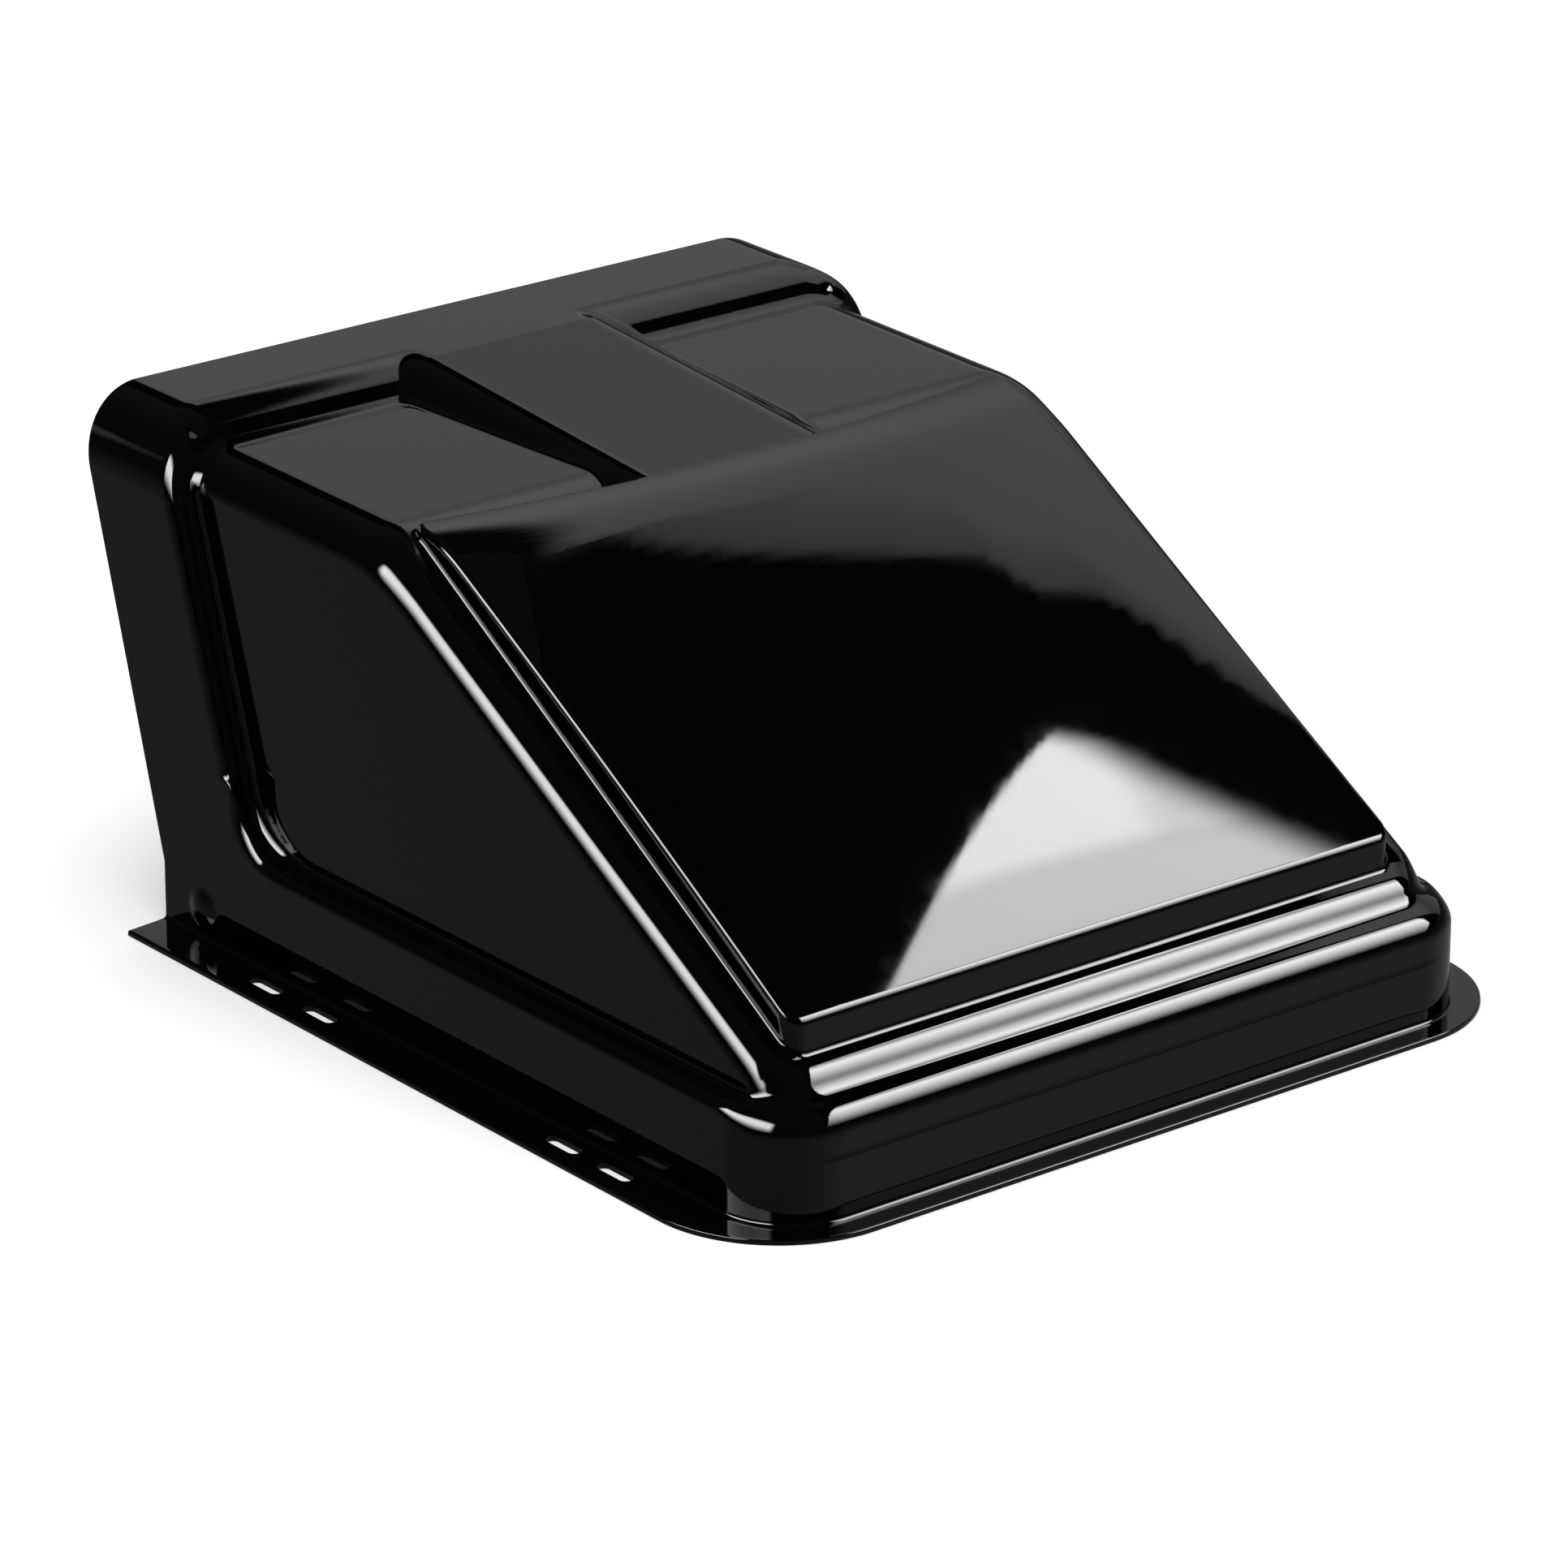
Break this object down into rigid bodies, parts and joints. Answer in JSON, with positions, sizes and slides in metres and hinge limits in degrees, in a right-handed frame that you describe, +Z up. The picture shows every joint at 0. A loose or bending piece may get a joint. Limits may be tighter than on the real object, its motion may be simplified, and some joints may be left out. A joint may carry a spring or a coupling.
{
  "type": "roof vent cover",
  "caption": "Black moulded wedge-shaped hood for a vehicle roof vent, with a side and front flange, bracket slots and a hinged louvred rear grille with insect screen.",
  "frame": {"origin": "middle of the base: half-way along and across the hood, at the flange's underside", "axes": "+Z up, -Y the low front that faces the wind, +Y the open rear with the grille, +X to the right seen from the front low end looking back"},
  "size_m": [0.559, 0.651, 0.2986],
  "materials": {
    "hood_plastic": "polished black moulded plastic",
    "grille_plastic": "fine-grained black moulded plastic",
    "knob_plastic": "satin dark grey moulded plastic",
    "nylon": "natural nylon",
    "stainless": "brushed stainless steel",
    "aluminium": "black anodised aluminium",
    "spline_rubber": "ribbed vinyl spline",
    "screen_mesh": "coated glass-fibre mesh",
    "foam_seal": "closed-cell foam"
  },
  "bodies": {
    "cover": {"cover_shell": "hood_plastic", "pivot_bush_left": "nylon", "pivot_bush_right": "nylon", "keeper_left": "stainless", "keeper_right": "stainless", "keeper_screws": "stainless"},
    "grille": {"pivot_pin_left": "stainless", "side_seal_left": "foam_seal", "louvre_left_1": "grille_plastic", "louvre_left_2": "grille_plastic", "louvre_left_3": "grille_plastic", "louvre_left_4": "grille_plastic", "louvre_left_5": "grille_plastic", "louvre_left_6": "grille_plastic", "louvre_left_7": "grille_plastic", "louvre_left_8": "grille_plastic", "pivot_pin_right": "stainless", "side_seal_right": "foam_seal", "louvre_right_1": "grille_plastic", "louvre_right_2": "grille_plastic", "louvre_right_3": "grille_plastic", "louvre_right_4": "grille_plastic", "louvre_right_5": "grille_plastic", "louvre_right_6": "grille_plastic", "louvre_right_7": "grille_plastic", "louvre_right_8": "grille_plastic", "grille_frame": "grille_plastic", "screen_rail_top": "aluminium", "screen_rail_bottom": "aluminium", "screen_rail_left": "aluminium", "screen_rail_right": "aluminium", "screen_spline": "spline_rubber", "insect_screen": "screen_mesh", "screen_clips": "stainless", "screen_clip_screws": "stainless", "top_seal": "foam_seal"},
    "latch_left": {"latch_knob_left": "knob_plastic", "latch_cam_left": "stainless", "latch_washer_left": "stainless", "latch_screw_left": "stainless"},
    "latch_right": {"latch_knob_right": "knob_plastic", "latch_cam_right": "stainless", "latch_washer_right": "stainless", "latch_screw_right": "stainless"}
  },
  "joints": [
    {"name": "grille_hinge", "type": "hinge", "parent": "cover", "child": "grille", "pos_m": [0, 0.212, 0.02], "axis": [-1, 0, 0], "range_deg": [0, 68]},
    {"name": "latch_left_turn", "type": "hinge", "parent": "grille", "child": "latch_left", "pos_m": [-0.15, 0.28273, 0.26187], "axis": [0, -0.9598, 0.2807], "range_deg": [0, 90]},
    {"name": "latch_right_turn", "type": "hinge", "parent": "grille", "child": "latch_right", "pos_m": [0.15, 0.28273, 0.26187], "axis": [0, 0.9598, -0.2807], "range_deg": [0, 90]}
  ]
}
